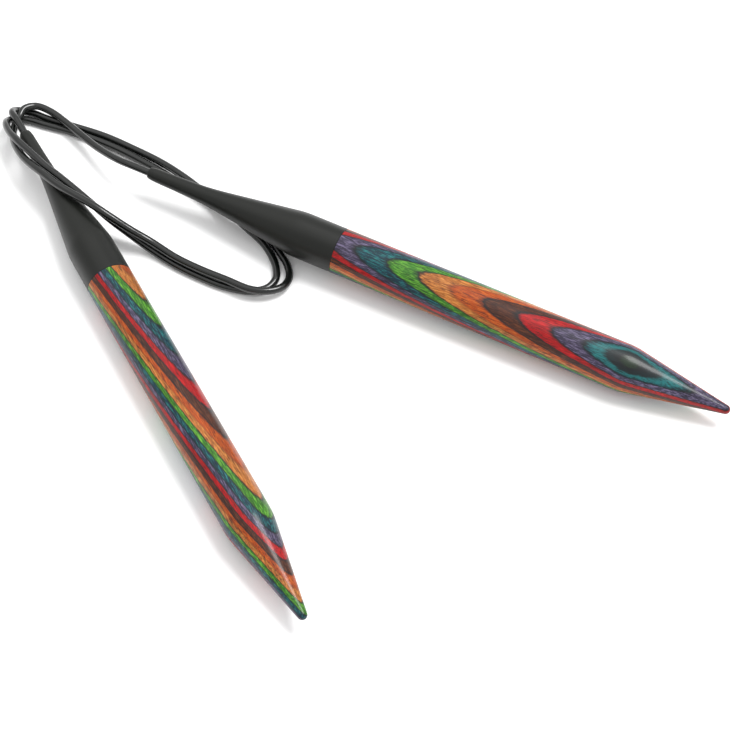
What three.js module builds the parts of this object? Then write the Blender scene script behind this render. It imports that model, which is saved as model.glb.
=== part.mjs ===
// Fixed circular knitting needle, 9 mm by 60 cm: two laminated birch shanks, each glued into a
// tapered plastic ferrule, joined by one thin flexible cable that lies in two and a half turns.
// Millimetres, +Z up. The origin is under the middle of the two rigid ends, on the table.

import * as THREE from 'three';

// ---- driving dimensions ----

const SHANK_DIAMETER = 9;
const ROUND_SIDES = 32;
const SHANK_LENGTH = 59;
const POINT_LENGTH = 20;
const POINT_END_RADIUS = 0.9;
const TENON_RADIUS = 3;
const TENON_LENGTH = 11.5;

const FERRULE_LENGTH = 42;
const NECK_RADIUS = 1.36;
const NECK_LENGTH = 10.5;
const FLARE_LENGTH = 22.5;
const SOCKET_RADIUS = 3.3;
const SOCKET_DEPTH = 11.8;
const CRIMP_BORE_RADIUS = 1.9;
const CRIMP_BORE_END = 20.6;
const CABLE_BORE_RADIUS = 1.05;

const CABLE_RADIUS = 0.75;
const CABLE_SIDES = 8;
const CABLE_STEPS = 80;
const CABLE_SEAT = 13.7;
const SLEEVE_LENGTH = 6;
const SLEEVE_RADIUS = 1.5;

const GAP = 0.3;
const BEND_REACH = 3.5;
const BEND_GAP = 0.5;

// Where each shank meets its ferrule, and the way each needle points.
const RIGHT_NEEDLE = { joint: [-3.2, 23.7, 5.55], azimuth: -24.6, droop: 1 };
const LEFT_NEEDLE = { joint: [-46.5, 15.7, SHANK_DIAMETER / 2], azimuth: -59.6, droop: 0 };

// ---- derived sizes ----

const HALF_STEP = Math.PI / ROUND_SIDES;
const ACROSS_CORNERS = 1 / Math.cos(HALF_STEP);
const SHANK_RADIUS = (SHANK_DIAMETER / 2) * ACROSS_CORNERS;
const BEND_POINT = FERRULE_LENGTH + BEND_REACH;

// ---- materials ----

const wood = new THREE.MeshStandardMaterial({ color: 0x8c5038, roughness: 0.3, metalness: 0 });
const satinPlastic = new THREE.MeshStandardMaterial({ color: 0x343634, roughness: 0.42, metalness: 0 });
const cablePlastic = new THREE.MeshStandardMaterial({ color: 0x1b1d1b, roughness: 0.22, metalness: 0 });
const steel = new THREE.MeshStandardMaterial({ color: 0xa8a9ab, roughness: 0.35, metalness: 1 });

// ---- shapes ----

// A solid of revolution about +Y. Each profile point is [distance along the axis, radius].
// One flat side faces local +Z and the opposite one faces local -Z.
function turned(profile) {
  const points = profile.map(([along, radius]) => new THREE.Vector2(radius, along));
  const geometry = new THREE.LatheGeometry(points, ROUND_SIDES);
  geometry.rotateY(HALF_STEP);
  return geometry;
}

// Points of a rounded end, from the rim of the cone to the axis.
function roundedEnd(start, radius, steps) {
  const arc = [];
  for (let i = 1; i < steps; i += 1) {
    const angle = (i / steps) * (Math.PI / 2);
    arc.push([start + radius * Math.sin(angle), radius * Math.cos(angle)]);
  }
  arc.push([start + radius, 0]);
  return arc;
}

function shankGeometry() {
  const point = SHANK_LENGTH + POINT_LENGTH - POINT_END_RADIUS;
  const shoulder = 0.5;
  return turned([
    [-TENON_LENGTH, 0],
    [-TENON_LENGTH, TENON_RADIUS - 0.4],
    [-TENON_LENGTH + 0.4, TENON_RADIUS],
    [GAP / 2, TENON_RADIUS],
    [GAP / 2, SHANK_RADIUS],
    [SHANK_LENGTH - shoulder, SHANK_RADIUS],
    [SHANK_LENGTH + shoulder, SHANK_RADIUS - 0.16],
    [point, POINT_END_RADIUS],
    ...roundedEnd(point, POINT_END_RADIUS, 4),
  ]);
}

function ferruleGeometry() {
  const flareStart = -FERRULE_LENGTH + NECK_LENGTH;
  const flareEnd = flareStart + FLARE_LENGTH;
  return turned([
    [-GAP / 2, SOCKET_RADIUS],
    [-SOCKET_DEPTH, SOCKET_RADIUS],
    [-SOCKET_DEPTH, CRIMP_BORE_RADIUS],
    [-CRIMP_BORE_END, CRIMP_BORE_RADIUS],
    [-CRIMP_BORE_END, CABLE_BORE_RADIUS],
    [-FERRULE_LENGTH, CABLE_BORE_RADIUS],
    [-FERRULE_LENGTH + 0.2, CABLE_BORE_RADIUS + 0.15],
    [-FERRULE_LENGTH + 0.8, NECK_RADIUS - 0.08],
    [-FERRULE_LENGTH + 1.7, NECK_RADIUS],
    [flareStart - 4.5, NECK_RADIUS + 0.1],
    [flareStart - 1.2, NECK_RADIUS + 0.22],
    [flareStart + 3.2, NECK_RADIUS + 0.44],
    [flareEnd - 2, SHANK_RADIUS - 0.3],
    [flareEnd - 0.8, SHANK_RADIUS - 0.08],
    [flareEnd + 0.6, SHANK_RADIUS],
    [-GAP / 2, SHANK_RADIUS],
    [-GAP / 2, SOCKET_RADIUS],
  ]);
}

function sleeveGeometry() {
  const start = -CRIMP_BORE_END + GAP;
  const end = start + SLEEVE_LENGTH;
  return turned([
    [start, CABLE_BORE_RADIUS],
    [start, SLEEVE_RADIUS],
    [end, SLEEVE_RADIUS],
    [end, CABLE_BORE_RADIUS],
    [start, CABLE_BORE_RADIUS],
  ]);
}

// The straight end of the cable, from inside the crimp sleeve to the bend outside the mouth.
function cableEndGeometry() {
  const outer = -BEND_POINT + BEND_GAP / 2;
  const length = -CABLE_SEAT - outer;
  const geometry = new THREE.CylinderGeometry(CABLE_RADIUS, CABLE_RADIUS, length, CABLE_SIDES);
  geometry.translate(0, outer + length / 2, 0);
  return geometry;
}

// ---- the needles ----

function makeNeedle(side, place) {
  const group = new THREE.Group();
  group.position.set(...place.joint);
  const azimuth = THREE.MathUtils.degToRad(place.azimuth);
  const droop = THREE.MathUtils.degToRad(place.droop);
  group.rotation.set(0, droop, azimuth, 'ZYX');
  const pieces = [
    ['shank', shankGeometry(), wood],
    ['ferrule', ferruleGeometry(), satinPlastic],
    ['crimp_sleeve', sleeveGeometry(), steel],
    ['cable_end', cableEndGeometry(), cablePlastic],
  ];
  for (const [name, geometry, material] of pieces) {
    const mesh = new THREE.Mesh(geometry, material.clone());
    mesh.name = `${side}_${name}`;
    mesh.rotation.z = -Math.PI / 2;
    group.add(mesh);
  }
  group.updateMatrixWorld(true);
  return group;
}

// A point on a needle's axis, this far behind the joint between shank and ferrule.
function behindJoint(needle, distance) {
  return needle.localToWorld(new THREE.Vector3(-distance, 0, 0));
}

// ---- the cable ----

// The height of the cable's middle where it lies on the table.
const ON_TABLE = CABLE_RADIUS + 0.05;

// The cable's lay between its two bends, from the right needle to the left one.
const CABLE_ROUTE = [
  // out of the right ferrule and down across the two back strands
  [-47.4, 44.3, 5.9],
  [-50, 46.6, 4.9],
  [-53.3, 49.9, 3.6],
  [-56.8, 53.6, 2.7],
  [-60.3, 57, 2.4],
  [-64, 60, 2.4],
  // round the left end
  [-67, 61.2, 2.5],
  [-69.2, 60.1, 2.9],
  [-70, 58.2, 2.6],
  [-70.6, 55.2, 2.7],
  [-70.3, 52, 3.5],
  [-69, 48.4, 4.7],
  // over the left ferrule
  [-66.3, 43.8, 6.3],
  [-62, 39, 7.9],
  [-58.5, 35.7, 8.5],
  [-55, 33.2, 8.8],
  [-51.5, 31.1, 8.6],
  [-48, 29.3, 7.4],
  // along the front, down onto the other front strand
  [-44, 27.8, 5.2],
  [-40, 26.5, 3.2],
  [-35, 23.5, 2.3],
  [-30, 20.8, 2.3],
  [-25, 18.5, 2.4],
  [-20, 16.3, 2.4],
  // round the right end
  [-16.5, 16.3, 2.1],
  [-14, 17.7, 1.6],
  [-12.9, 20.3, 1],
  [-13.3, 23.2, ON_TABLE],
  [-14.7, 26, ON_TABLE],
  // under the right ferrule and along the back
  [-17.8, 30.6, ON_TABLE],
  [-23, 35, ON_TABLE],
  [-29, 39.2, ON_TABLE],
  [-35, 42.8, ON_TABLE],
  [-42, 47.3, ON_TABLE],
  [-50, 52, ON_TABLE],
  [-58, 55.5, ON_TABLE],
  [-65, 57.7, ON_TABLE],
  // round the left end again, outside the first turn
  [-69, 58.9, 0.85],
  [-71.2, 58.5, 1.4],
  [-72.2, 56.9, 2.7],
  [-72, 54.8, 4.2],
  [-70.8, 51.8, 5.5],
  [-68.5, 48.3, 6.8],
  // over the left ferrule again
  [-65.4, 45, 7.2],
  [-62, 41.4, 7.5],
  [-58.5, 38.1, 8],
  [-55, 35, 7.9],
  [-51.5, 32.4, 6.8],
  [-48, 30.5, 4.5],
  // along the front, on the table
  [-44.5, 28.7, 2.7],
  [-40, 26, 1.2],
  [-35, 22.7, ON_TABLE],
  [-30, 20, ON_TABLE],
  [-25, 17.9, ON_TABLE],
  [-20, 17.1, ON_TABLE],
  // round the right end, inside the first turn
  [-17, 17.9, ON_TABLE],
  [-15.5, 20, ON_TABLE],
  [-15.5, 22.5, ON_TABLE],
  [-16.3, 25, ON_TABLE],
  [-18.3, 28.5, 0.9],
  // under the right ferrule, over the first turn, and along the back
  [-22, 32, 1.5],
  [-26.5, 36, 2.2],
  [-31, 40, 2.4],
  [-35, 43.5, 2.4],
  [-40, 47.9, 1.4],
  [-46, 51.8, 0.8],
  [-52.5, 55.1, ON_TABLE],
  [-60, 57.8, ON_TABLE],
  [-65, 59.5, ON_TABLE],
  // up and round into the left ferrule
  [-67.7, 60.7, 0.85],
  [-69.6, 60.9, 1.2],
  [-71.2, 60, 2.4],
  [-71.3, 58.1, 3.8],
];

// The steps follow the route's own spacing, so that they come closer together in the tight turns.
class CableCurve extends THREE.CatmullRomCurve3 {
  getPointAt(u, target) {
    return this.getPoint(u, target);
  }

  getTangentAt(u, target) {
    return this.getTangent(u, target);
  }
}

function cableCurve(right, left) {
  const lead = [BEND_GAP / 2, 1];
  const points = [
    ...lead.map((distance) => behindJoint(right, BEND_POINT + distance)),
    ...CABLE_ROUTE.map((place) => new THREE.Vector3(...place)),
    ...lead.map((distance) => behindJoint(left, BEND_POINT + distance)).reverse(),
  ];
  return new CableCurve(points, false, 'centripetal');
}

function makeCable(right, left) {
  const section = new THREE.Shape();
  for (let i = 0; i < CABLE_SIDES; i += 1) {
    const angle = (i / CABLE_SIDES) * Math.PI * 2;
    const corner = [CABLE_RADIUS * Math.cos(angle), CABLE_RADIUS * Math.sin(angle)];
    if (i === 0) section.moveTo(...corner);
    else section.lineTo(...corner);
  }
  section.closePath();
  const geometry = new THREE.ExtrudeGeometry(section, {
    steps: CABLE_STEPS,
    extrudePath: cableCurve(right, left),
    curveSegments: 1,
  });
  const mesh = new THREE.Mesh(geometry, cablePlastic);
  mesh.name = 'cable';
  return mesh;
}

// ---- assembly ----

const group = new THREE.Group();
const right = makeNeedle('right', RIGHT_NEEDLE);
const left = makeNeedle('left', LEFT_NEEDLE);
group.add(right, left, makeCable(right, left));

export default group;
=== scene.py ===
"""Looks of a circular knitting needle: laminated shanks in satin black ferrules, joined by a thin cable."""

import math

import bmesh
import bpy
from mathutils import Matrix, Vector


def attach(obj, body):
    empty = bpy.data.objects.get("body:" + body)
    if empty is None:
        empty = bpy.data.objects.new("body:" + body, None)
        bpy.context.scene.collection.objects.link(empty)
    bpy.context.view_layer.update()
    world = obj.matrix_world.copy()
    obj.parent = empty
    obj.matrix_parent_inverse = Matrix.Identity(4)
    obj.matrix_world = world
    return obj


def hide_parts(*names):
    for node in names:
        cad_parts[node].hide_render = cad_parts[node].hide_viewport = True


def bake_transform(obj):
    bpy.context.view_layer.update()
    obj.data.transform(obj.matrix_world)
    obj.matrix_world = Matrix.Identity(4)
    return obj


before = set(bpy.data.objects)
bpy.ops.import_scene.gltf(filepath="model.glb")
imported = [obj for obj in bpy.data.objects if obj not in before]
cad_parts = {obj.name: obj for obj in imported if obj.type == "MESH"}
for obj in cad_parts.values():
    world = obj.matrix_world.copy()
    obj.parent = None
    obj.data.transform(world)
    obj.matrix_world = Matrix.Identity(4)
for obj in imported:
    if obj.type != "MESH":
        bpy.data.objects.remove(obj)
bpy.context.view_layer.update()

MM = 0.001

# ---- sizes, in millimetres as in the CAD ----

RIGHT_NEEDLE = {"joint": (-3.2, 23.7, 5.55), "azimuth": -24.6, "droop": 1.0}
LEFT_NEEDLE = {"joint": (-46.5, 15.7, 4.5), "azimuth": -59.6, "droop": 0.0}

SHANK_RADIUS = 4.5
SHANK_LENGTH = 59.0
POINT_LENGTH = 20.0
POINT_END_RADIUS = 0.9
SHOULDER_BEFORE = 3.0
SHOULDER_AFTER = 2.4
TENON_CHAMFER = 0.4
TENON_RADIUS = 3.0
TENON_LENGTH = 11.5
SEAM = 0.02
SEAM_CHAMFER = 0.05

FERRULE_LENGTH = 42.0
SOCKET_RADIUS = 3.3
SOCKET_DEPTH = 11.8
CRIMP_BORE_RADIUS = 1.9
CRIMP_BORE_END = 20.6
MOUTH_BORE_RADIUS = 0.79

CABLE_RADIUS = 0.75
CABLE_SEAT = 13.7
# The needle swings about BEND_POINT, this far behind its joint. The cable's tail reaches BEND_HALF
# past it, and starts out straight, through the two leads.
BEND_POINT = 45.5
BEND_HALF = 3.5
CABLE_LEADS = (0.25, 1.0)

# Each tail's straight stretch, behind the joint: fine steps round the mouth, then coarse ones.
TAIL_FINE = [BEND_POINT - 0.25 - 0.5 * i for i in range(8)]
TAIL_COARSE = [38 - 4 * i for i in range(6)]

LATHE_SIDES = 96
CONE_STEPS = 8
TIP_STEPS = 9
CABLE_SIDES = 20
CURVE_STEPS = 10
SHARP_ANGLE = math.radians(32)

# The height of the cable's middle where it lies on the table.
ON_TABLE = CABLE_RADIUS + 0.05

# The cable's lay, from the right needle's bend to the left one's.
CABLE_ROUTE = [
    # out of the right ferrule and down across the two back strands
    (-47.4, 44.3, 5.9), (-50, 46.6, 4.9), (-53.3, 49.9, 3.6), (-56.8, 53.6, 2.7), (-60.3, 57, 2.4),
    (-64, 60, 2.4),
    # round the left end
    (-67, 61.2, 2.5), (-69.2, 60.1, 2.9), (-70, 58.2, 2.6), (-70.6, 55.2, 2.7), (-70.3, 52, 3.5),
    (-69, 48.4, 4.7),
    # over the left ferrule
    (-66.3, 43.8, 6.3), (-62, 39, 7.9), (-58.5, 35.7, 8.5), (-55, 33.2, 8.8), (-51.5, 31.1, 8.6),
    (-48, 29.3, 7.4),
    # along the front, down onto the other front strand
    (-44, 27.8, 5.2), (-40, 26.5, 3.2), (-35, 23.5, 2.3), (-30, 20.8, 2.3), (-25, 18.5, 2.4),
    (-20, 16.3, 2.4),
    # round the right end
    (-16.5, 16.3, 2.1), (-14, 17.7, 1.6), (-12.9, 20.3, 1), (-13.3, 23.2, ON_TABLE),
    (-14.7, 26, ON_TABLE),
    # under the right ferrule and along the back
    (-17.8, 30.6, ON_TABLE), (-23, 35, ON_TABLE), (-29, 39.2, ON_TABLE), (-35, 42.8, ON_TABLE),
    (-42, 47.3, ON_TABLE), (-50, 52, ON_TABLE), (-58, 55.5, ON_TABLE), (-65, 57.7, ON_TABLE),
    # round the left end again, outside the first turn
    (-69, 58.9, 0.85), (-71.2, 58.5, 1.4), (-72.2, 56.9, 2.7), (-72, 54.8, 4.2), (-70.8, 51.8, 5.5),
    (-68.5, 48.3, 6.8),
    # over the left ferrule again
    (-65.4, 45, 7.2), (-62, 41.4, 7.5), (-58.5, 38.1, 8), (-55, 35, 7.9), (-51.5, 32.4, 6.8),
    (-48, 30.5, 4.5),
    # along the front, on the table
    (-44.5, 28.7, 2.7), (-40, 26, 1.2), (-35, 22.7, ON_TABLE), (-30, 20, ON_TABLE),
    (-25, 17.9, ON_TABLE), (-20, 17.1, ON_TABLE),
    # round the right end, inside the first turn
    (-17, 17.9, ON_TABLE), (-15.5, 20, ON_TABLE), (-15.5, 22.5, ON_TABLE), (-16.3, 25, ON_TABLE),
    (-18.3, 28.5, 0.9),
    # under the right ferrule, over the first turn, and along the back
    (-22, 32, 1.5), (-26.5, 36, 2.2), (-31, 40, 2.4), (-35, 43.5, 2.4), (-40, 47.9, 1.4),
    (-46, 51.8, 0.8), (-52.5, 55.1, ON_TABLE), (-60, 57.8, ON_TABLE), (-65, 59.5, ON_TABLE),
    # up and round into the left ferrule
    (-67.7, 60.7, 0.85), (-69.6, 60.9, 1.2), (-71.2, 60, 2.4), (-71.3, 58.1, 3.8),
]

# ---- camera ----

CAMERA_LOOKS_AT = Vector((3, 0.5, 0)) * MM
CAMERA_DISTANCE = 300
CAMERA_ELEVATION = math.radians(56.9)
CAMERA_ROLL = math.radians(1.6)
CAMERA_LENS = 78.4


def make_camera():
    data = bpy.data.cameras.new("camera")
    data.lens = CAMERA_LENS
    data.sensor_width = 36
    data.clip_start = 0.01
    camera = bpy.data.objects.new("camera", data)
    bpy.context.scene.collection.objects.link(camera)
    forward = Vector((0, math.cos(CAMERA_ELEVATION), -math.sin(CAMERA_ELEVATION)))
    level = Vector((1, 0, 0))
    upward = level.cross(forward)
    right = math.cos(CAMERA_ROLL) * level + math.sin(CAMERA_ROLL) * upward
    up = math.cos(CAMERA_ROLL) * upward - math.sin(CAMERA_ROLL) * level
    turn = Matrix((right, up, -forward)).transposed().to_4x4()
    place = CAMERA_LOOKS_AT - forward * CAMERA_DISTANCE * MM
    camera.matrix_world = Matrix.Translation(place) @ turn
    bpy.context.scene.camera = camera


# ---- node helpers ----


def add(tree, kind, inputs=(), **settings):
    """A node with its settings, and its sockets set to a value or linked to another node's output."""
    made = tree.nodes.new(kind)
    for key, value in settings.items():
        setattr(made, key, value)
    for socket, value in dict(inputs).items():
        if isinstance(value, bpy.types.NodeSocket):
            tree.links.new(value, made.inputs[socket])
        else:
            made.inputs[socket].default_value = value
    return made


def math_of(tree, operation, *values):
    return add(tree, "ShaderNodeMath", enumerate(values), operation=operation).outputs[0]


def scaled(tree, vector, by):
    return add(tree, "ShaderNodeVectorMath", {0: vector, 1: by}, operation="MULTIPLY").outputs[0]


def noise(tree, vector, scale, detail=2.0, roughness=0.5):
    """Noise from 0 to 1 over coordinates in millimetres; scale is in waves per millimetre."""
    inputs = {"Vector": vector, "Scale": scale, "Detail": detail, "Roughness": roughness}
    return add(tree, "ShaderNodeTexNoise", inputs).outputs["Fac"]


def ranged(tree, value, low, high, to_low=0.0, to_high=1.0):
    inputs = {"Value": value, "From Min": low, "From Max": high, "To Min": to_low, "To Max": to_high}
    return add(tree, "ShaderNodeMapRange", inputs, clamp=True).outputs["Result"]


def mixed(tree, factor, a, b, blend="MIX"):
    inputs = {"Factor": factor, 6: a, 7: b}
    return add(tree, "ShaderNodeMix", inputs, data_type="RGBA", blend_type=blend).outputs[2]


def bumped(tree, height, strength, distance):
    inputs = {"Height": height, "Strength": strength, "Distance": distance}
    return add(tree, "ShaderNodeBump", inputs).outputs["Normal"]


def linear(colour):
    """An 8-bit sRGB colour as the linear values that a shader takes."""
    parts = [c / 255 for c in colour]
    parts = [c / 12.92 if c <= 0.04045 else ((c + 0.055) / 1.055) ** 2.4 for c in parts]
    return (*parts, 1.0)


def new_material(name):
    """A material with an empty Principled shader, and the piece's own coordinates in millimetres."""
    material = bpy.data.materials.new(name)
    material.use_nodes = True
    tree = material.node_tree
    shader = tree.nodes["Principled BSDF"]
    place = add(tree, "ShaderNodeTexCoord").outputs["Object"]
    return material, tree, shader, scaled(tree, place, (1000, 1000, 1000))


def feed(tree, shader, **values):
    """Sets or links the shader's sockets, written with _ for each space."""
    for name, value in values.items():
        socket = shader.inputs[name.replace("_", " ")]
        if isinstance(value, bpy.types.NodeSocket):
            tree.links.new(value, socket)
        else:
            socket.default_value = value


# ---- laminated wood ----

# One repeat of the laminate: each dyed ply's name, its colour, and its flecks' colour.
PLIES = [
    ("teal", (10, 44, 58), (32, 108, 108)),
    ("green", (44, 100, 24), (96, 158, 48)),
    ("tan", (152, 88, 36), (194, 126, 60)),
    ("rust", (150, 60, 12), (176, 86, 26)),
    ("brown", (58, 28, 18), (88, 48, 28)),
    ("red", (144, 8, 14), (170, 24, 24)),
    ("purple", (48, 42, 62), (106, 96, 124)),
]
GLUE = (20, 24, 27)
RUST_LINE = (128, 62, 26)
GLUE_HALF_WIDTH = 0.06
GLUE_FADE = 0.13
LENS_FADE = (-0.15, 0.05)
RIM_FADE = (-0.55, -0.35)
GRAIN_DARK = (18, 17, 18)

# How the plies' planes stand in each needle: turned about its axis, and leaning along it.
# At "last" the round shank just meets the next glue line, which shows as a dark lens.
RIGHT_PLIES = {"thickness": 0.72, "turn": 15.5, "lean": 6.2, "first": 0.3, "last": 14.67}
LEFT_PLIES = {"thickness": 0.79, "turn": -48.4, "lean": -6.6, "first": 4.7, "last": 40}


def ply_ramp(tree, place, fleck):
    """Looks up the colour, or the flecks' colour, of the ply at this place in the repeat."""
    stops = []
    for start, (name, colour, flecks) in enumerate(PLIES):
        line = RUST_LINE if name == "rust" else GLUE
        shade = linear(flecks if fleck else colour)
        stops.append((start + GLUE_HALF_WIDTH * (start > 0), linear(line)))
        stops.append((start + GLUE_FADE + GLUE_HALF_WIDTH, shade))
        stops.append((start + 1 - GLUE_FADE, shade))
    stops.append((len(PLIES), linear(GLUE)))
    ramp = add(tree, "ShaderNodeValToRGB", {"Fac": place})
    elements = ramp.color_ramp.elements
    while len(elements) < len(stops):
        elements.new(0.5)
    for element, (position, colour) in zip(elements, stops):
        element.position = position / len(PLIES)
        element.color = colour
    return ramp.outputs["Color"]


def wood(name, plies):
    """Dyed plies under clear varnish, their edges slightly ragged, with flecks drawn out along the grain."""
    material, tree, shader, mm = new_material(name)
    turn, lean = math.radians(plies["turn"]), math.radians(plies["lean"])
    across = Vector((math.sin(lean), -math.cos(lean) * math.sin(turn), math.cos(lean) * math.cos(turn)))
    inputs = {0: mm, 1: across / plies["thickness"]}
    layer = add(tree, "ShaderNodeVectorMath", inputs, operation="DOT_PRODUCT").outputs["Value"]
    layer = math_of(tree, "ADD", layer, plies["first"])
    along_grain = scaled(tree, mm, (0.12, 1, 1))
    sway = math_of(tree, "SUBTRACT", noise(tree, along_grain, 0.25, 1), 0.5)
    ragged = math_of(tree, "SUBTRACT", noise(tree, scaled(tree, mm, (0.3, 1, 1)), 2.2, 3, 0.6), 0.5)
    layer = math_of(tree, "MULTIPLY_ADD", sway, 0.35, layer)
    layer = math_of(tree, "MULTIPLY_ADD", ragged, 0.24, layer)
    place = math_of(tree, "FRACT", math_of(tree, "DIVIDE", layer, len(PLIES)))

    dashes = ranged(tree, noise(tree, scaled(tree, mm, (0.14, 1, 1)), 4.6, 3, 0.6), 0.46, 0.66)
    rim = ranged(tree, layer, *[plies["last"] + depth for depth in RIM_FADE], 0, 0.7)
    dashes = math_of(tree, "MAXIMUM", dashes, rim)
    colour = mixed(tree, dashes, ply_ramp(tree, place, False), ply_ramp(tree, place, True))
    lens = ranged(tree, layer, *[plies["last"] + depth for depth in LENS_FADE], 0, 0.95)
    colour = mixed(tree, lens, colour, linear(GLUE))
    vessels = noise(tree, scaled(tree, mm, (0.08, 1, 1)), 7, 2, 0.6)
    dark = ranged(tree, vessels, 0.5, 0.64, 0, 0.72)
    colour = mixed(tree, dark, colour, linear(GRAIN_DARK))
    tone = ranged(tree, noise(tree, along_grain, 0.8, 2), 0.3, 0.7, 0.78, 1.15)
    tone = add(tree, "ShaderNodeCombineColor", {0: tone, 1: tone, 2: tone}).outputs[0]
    colour = mixed(tree, 1.0, colour, tone, "MULTIPLY")

    roughness = ranged(tree, vessels, 0.3, 0.7, 0.4, 0.52)
    normal = bumped(tree, vessels, 0.1, 0.00002)
    feed(tree, shader, Base_Color=colour, Roughness=roughness, Normal=normal)
    feed(tree, shader, Coat_Weight=0.42, Coat_Roughness=0.2, Coat_IOR=1.4, IOR=1.25)
    return material


# ---- plastics, steel and the floor ----


def satin_plastic():
    """Moulded black plastic: faint flow marks in the gloss, lengthwise streaks of painted reflection in its
    colour, and a very fine grain.
    """
    material, tree, shader, mm = new_material("ferrule_plastic")
    flow_and_reflection_streaks = noise(tree, scaled(tree, mm, (0.15, 1, 1)), 0.35, 3, 0.55)
    grain = noise(tree, mm, 9, 2, 0.6)
    # Painted reflection: this noise makes the colour lighter and darker in lengthwise streaks; in the
    # roughness it gives flow marks.
    colour = mixed(tree, flow_and_reflection_streaks, linear((9, 11, 8)), linear((20, 22, 18)))
    roughness = ranged(tree, flow_and_reflection_streaks, 0.3, 0.7, 0.36, 0.46)
    normal = bumped(tree, grain, 0.1, 0.00002)
    feed(tree, shader, Base_Color=colour, Roughness=roughness, Normal=normal, IOR=1.38)
    return material


def cable_plastic():
    """Extruded black cable: glossy, with faint patches and specks of dust."""
    material, tree, shader, mm = new_material("cable_plastic")
    patches = noise(tree, mm, 0.3, 2)
    specks = ranged(tree, noise(tree, mm, 6, 2, 0.6), 0.66, 0.76)
    colour = mixed(tree, patches, linear((7, 9, 8)), linear((14, 17, 15)))
    colour = mixed(tree, math_of(tree, "MULTIPLY", specks, 0.3), colour, linear((62, 64, 60)))
    roughness = ranged(tree, patches, 0.3, 0.7, 0.16, 0.24)
    normal = bumped(tree, noise(tree, mm, 3, 2), 0.06, 0.00003)
    feed(tree, shader, Base_Color=colour, Roughness=roughness, Normal=normal, IOR=1.54)
    return material


def crimp_steel():
    """Pressed steel with fine marks round it."""
    material, tree, shader, mm = new_material("crimp_steel")
    marks = noise(tree, mm, 7, 3, 0.6)
    colour = mixed(tree, marks, linear((150, 150, 152)), linear((196, 196, 198)))
    roughness = ranged(tree, marks, 0.3, 0.7, 0.28, 0.45)
    normal = bumped(tree, marks, 0.15, 0.00002)
    feed(tree, shader, Base_Color=colour, Roughness=roughness, Normal=normal, Metallic=1.0)
    return material


def floor_paper():
    material, tree, shader, mm = new_material("floor_paper")
    fibres = noise(tree, mm, 0.05, 3)
    colour = mixed(tree, fibres, linear((246, 246, 246)), linear((250, 250, 250)))
    feed(tree, shader, Base_Color=colour, Roughness=0.75)
    return material


# ---- shapes ----


def needle_matrix(place):
    """The needle's own frame: the origin at its joint, X towards its tip, Z the side that is up."""
    turn = Matrix.Rotation(math.radians(place["azimuth"]), 4, "Z")
    tilt = Matrix.Rotation(math.radians(place["droop"]), 4, "Y")
    return Matrix.Translation(Vector(place["joint"]) * MM) @ turn @ tilt


def behind_joint(place, distance):
    return needle_matrix(place) @ Vector((-distance * MM, 0, 0))


def object_from(name, build, material, matrix=None):
    mesh = bpy.data.meshes.new(name)
    bmesh.ops.recalc_face_normals(build, faces=build.faces)
    build.to_mesh(mesh)
    build.free()
    mesh.shade_smooth()
    mesh.set_sharp_from_angle(angle=SHARP_ANGLE)
    mesh.materials.append(material)
    made = bpy.data.objects.new(name, mesh)
    if matrix is not None:
        made.matrix_world = matrix
    bpy.context.scene.collection.objects.link(made)
    return made


def turned(profile):
    """A solid of revolution about X, from a profile of (along, radius) in millimetres.
    A profile that ends at radius 0 is closed there, and one that comes back to its start is a ring."""
    build = bmesh.new()
    ring_profile = profile[0] == profile[-1]
    rows = []
    for along, radius in profile[: -1 if ring_profile else None]:
        if radius == 0:
            rows.append([build.verts.new((along * MM, 0, 0))])
            continue
        row = []
        for side in range(LATHE_SIDES):
            angle = 2 * math.pi * side / LATHE_SIDES
            y, z = radius * math.cos(angle), radius * math.sin(angle)
            row.append(build.verts.new((along * MM, y * MM, z * MM)))
        rows.append(row)
    if ring_profile:
        rows.append(rows[0])
    for a, b in zip(rows, rows[1:]):
        for side in range(LATHE_SIDES):
            after = (side + 1) % LATHE_SIDES
            corners = [a[side % len(a)], a[after % len(a)], b[after % len(b)], b[side % len(b)]]
            build.faces.new(list(dict.fromkeys(corners)))
    return build


def softened(profile, times=2):
    """Cuts the corners of an open profile, so that its straight runs flow into each other."""
    for _ in range(times):
        cut = [profile[0]]
        for (a, b), (c, d) in zip(profile, profile[1:]):
            cut.append((a * 0.75 + c * 0.25, b * 0.75 + d * 0.25))
            cut.append((a * 0.25 + c * 0.75, b * 0.25 + d * 0.75))
        cut.append(profile[-1])
        profile = cut
    return profile


def shank_profile():
    tip = SHANK_LENGTH + POINT_LENGTH - POINT_END_RADIUS
    profile = [
        (-TENON_LENGTH, 0),
        (-TENON_LENGTH, TENON_RADIUS - TENON_CHAMFER),
        (-TENON_LENGTH + TENON_CHAMFER, TENON_RADIUS),
        (SEAM / 2, TENON_RADIUS),
        (SEAM / 2, SHANK_RADIUS - SEAM_CHAMFER),
        (SEAM / 2 + SEAM_CHAMFER, SHANK_RADIUS),
    ]
    profile += [(along, SHANK_RADIUS) for along in range(10, 51, 10)]
    slope = (SHANK_RADIUS - POINT_END_RADIUS) / (tip - SHANK_LENGTH)
    cone_start = SHANK_LENGTH + SHOULDER_AFTER
    shoulder = [
        (SHANK_LENGTH - SHOULDER_BEFORE, SHANK_RADIUS),
        (SHANK_LENGTH, SHANK_RADIUS),
        (cone_start, SHANK_RADIUS - SHOULDER_AFTER * slope),
    ]
    profile += softened(shoulder)
    for i in range(1, CONE_STEPS):
        along = cone_start + (tip - cone_start) * i / CONE_STEPS
        profile.append((along, SHANK_RADIUS - (along - SHANK_LENGTH) * slope))
    lean = math.atan(slope)
    for i in range(TIP_STEPS):
        angle = lean + (math.pi / 2 - lean) * i / TIP_STEPS
        along = tip + POINT_END_RADIUS * math.sin(angle)
        profile.append((along, POINT_END_RADIUS * math.cos(angle)))
    profile.append((tip + POINT_END_RADIUS, 0))
    return profile


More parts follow.
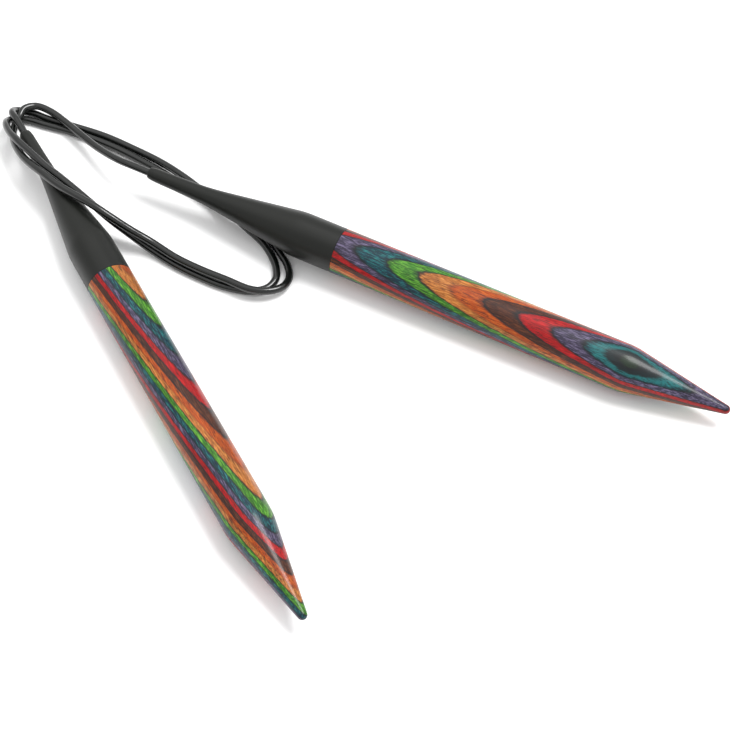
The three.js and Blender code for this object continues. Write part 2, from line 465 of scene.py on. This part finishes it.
def ferrule_profile():
    outside = [
        (-FERRULE_LENGTH, 0.95),
        (-FERRULE_LENGTH + 0.1, 1.12),
        (-FERRULE_LENGTH + 0.7, 1.26),
        (-FERRULE_LENGTH + 1.7, 1.36),
        (-36.0, 1.46),
        (-32.7, 1.58),
        (-28.3, 1.8),
        (-18.0, 3.25),
        (-11.0, 4.22),
        (-9.6, 4.42),
        (-8.2, SHANK_RADIUS),
        (-5.0, SHANK_RADIUS),
    ]
    inside = [
        (-SEAM / 2, SOCKET_RADIUS),
        (-SOCKET_DEPTH, SOCKET_RADIUS),
        (-SOCKET_DEPTH, CRIMP_BORE_RADIUS),
        (-CRIMP_BORE_END, CRIMP_BORE_RADIUS),
        (-CRIMP_BORE_END, MOUTH_BORE_RADIUS),
        (-FERRULE_LENGTH + 0.1, MOUTH_BORE_RADIUS),
        (-FERRULE_LENGTH, MOUTH_BORE_RADIUS + 0.08),
        outside[0],
    ]
    rim = [
        (-SEAM / 2 - SEAM_CHAMFER, SHANK_RADIUS),
        (-SEAM / 2, SHANK_RADIUS - SEAM_CHAMFER),
    ]
    return softened(outside) + rim + inside


def make_needle(side, place, wood_material, black):
    matrix = needle_matrix(place)
    pieces = [
        ("shank", shank_profile(), wood_material, f"{side}_shank_wood"),
        ("ferrule", ferrule_profile(), black, "ferrule_plastic"),
    ]
    for name, profile, material, slot in pieces:
        piece = object_from(f"{side}_{name}_turned", turned(profile), material, matrix)
        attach(piece, f"{side}_needle")
        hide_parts(f"{side}_{name}")


# ---- the cable ----


def centripetal(points, steps):
    """A centripetal Catmull-Rom curve through the points, with this many steps between each two."""
    ends = [2 * points[0] - points[1], *points, 2 * points[-1] - points[-2]]
    line = []
    for a, b, c, d in zip(ends, ends[1:], ends[2:], ends[3:]):
        ab, bc, cd = [math.sqrt((q - p).length) for p, q in ((a, b), (b, c), (c, d))]
        leave = ((b - a) / ab - (c - a) / (ab + bc) + (c - b) / bc) * bc
        arrive = ((c - b) / bc - (d - b) / (bc + cd) + (d - c) / cd) * bc
        for i in range(steps):
            t = i / steps
            square = 3 * (c - b) - 2 * leave - arrive
            cube = 2 * (b - c) + leave + arrive
            line.append(b + t * leave + t * t * square + t * t * t * cube)
    line.append(points[-1])
    return line


def tube(path, radius, sides):
    """A closed tube round the path, its section carried along without twisting."""
    build = bmesh.new()
    heading = (path[1] - path[0]).normalized()
    side = heading.orthogonal().normalized()
    rows = []
    for i, point in enumerate(path):
        after = (path[min(i + 1, len(path) - 1)] - path[max(i - 1, 0)]).normalized()
        side = (heading.rotation_difference(after) @ side).normalized()
        heading = after
        other = heading.cross(side)
        row = []
        for k in range(sides):
            angle = 2 * math.pi * k / sides
            offset = side * math.cos(angle) + other * math.sin(angle)
            row.append(build.verts.new(point + offset * radius))
        rows.append(row)
    for a, b in zip(rows, rows[1:]):
        for k in range(sides):
            after = (k + 1) % sides
            build.faces.new((a[k], a[after], b[after], b[k]))
    build.faces.new(rows[0])
    build.faces.new(rows[-1])
    return build


def split_line(line, right_bend, left_bend):
    """Parts the whole curve into the stretch near each bend and the free cable between them."""
    reach = BEND_HALF * MM
    start = next(i for i, p in enumerate(line) if (p - right_bend).length > reach)
    backwards = next(i for i, p in enumerate(reversed(line)) if (p - left_bend).length > reach)
    stop = len(line) - 1 - backwards
    return line[: start + 1], line[start : stop + 1], line[stop:]


def make_cable_tail(side, place, stretch, material):
    """The end of the cable: bent near the pivot, and from there straight to its seat in the ferrule."""
    path = list(reversed(stretch)) if side == "right" else list(stretch)
    path += [behind_joint(place, distance) for distance in (*TAIL_FINE, *TAIL_COARSE, CABLE_SEAT)]
    tail = object_from(f"{side}_cable_tail", tube(path, CABLE_RADIUS * MM, CABLE_SIDES), material)
    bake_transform(tail)
    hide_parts(f"{side}_cable_end")
    return tail


def make_cable(material):
    needles = (RIGHT_NEEDLE, LEFT_NEEDLE)
    leads = [[behind_joint(n, BEND_POINT + lead) for lead in CABLE_LEADS] for n in needles]
    points = leads[0] + [Vector(p) * MM for p in CABLE_ROUTE] + list(reversed(leads[1]))
    line = centripetal(points, CURVE_STEPS)
    bends = [behind_joint(n, BEND_POINT) for n in needles]
    right_part, free_part, left_part = split_line(line, *bends)
    cable = object_from("cable_line", tube(free_part, CABLE_RADIUS * MM, CABLE_SIDES), material)
    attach(cable, "cable")
    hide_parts("cable")
    tails = [
        make_cable_tail("right", RIGHT_NEEDLE, right_part, material),
        make_cable_tail("left", LEFT_NEEDLE, left_part, material),
    ]


# ---- floor and lights ----

FLOOR_HALF_SIZE = 12
WORLD_STRENGTH = 0.9

# Each light's name, place and diameter in metres, and power in watts.
LIGHTS = [
    ("key", (0.30, 0.16, 0.72), 0.34, 5),
    ("overhead", (-0.2, 0.3, 1.0), 1.4, 3),
]


def make_floor(material):
    """A sheet wide enough that no view sees its edge."""
    build = bmesh.new()
    bmesh.ops.create_grid(build, x_segments=1, y_segments=1, size=FLOOR_HALF_SIZE)
    object_from("floor", build, material)


def make_light(name, place, size, watts):
    """A round soft light that faces the object."""
    data = bpy.data.lights.new(name, "AREA")
    data.shape = "DISK"
    data.size = size
    data.energy = watts
    light = bpy.data.objects.new(name, data)
    light.location = place
    light.rotation_euler = Vector(place).to_track_quat("Z", "Y").to_euler()
    bpy.context.scene.collection.objects.link(light)


def make_world():
    world = bpy.data.worlds.new("studio")
    world.use_nodes = True
    background = world.node_tree.nodes["Background"]
    background.inputs["Color"].default_value = (1, 1, 1, 1)
    background.inputs["Strength"].default_value = WORLD_STRENGTH
    bpy.context.scene.world = world


# ---- the whole scene ----

bpy.context.scene.view_settings.view_transform = "Standard"
make_camera()
cable_black = cable_plastic()
make_cable(cable_black)
ferrule_black = satin_plastic()
right_wood = wood("right_wood", RIGHT_PLIES)
left_wood = wood("left_wood", LEFT_PLIES)
make_needle("right", RIGHT_NEEDLE, right_wood, ferrule_black)
make_needle("left", LEFT_NEEDLE, left_wood, ferrule_black)
steel = crimp_steel()
for sleeve in ("right_crimp_sleeve", "left_crimp_sleeve"):
    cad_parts[sleeve].data.materials.clear()
    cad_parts[sleeve].data.materials.append(steel)
make_floor(floor_paper())
for light in LIGHTS:
    make_light(*light)
make_world()
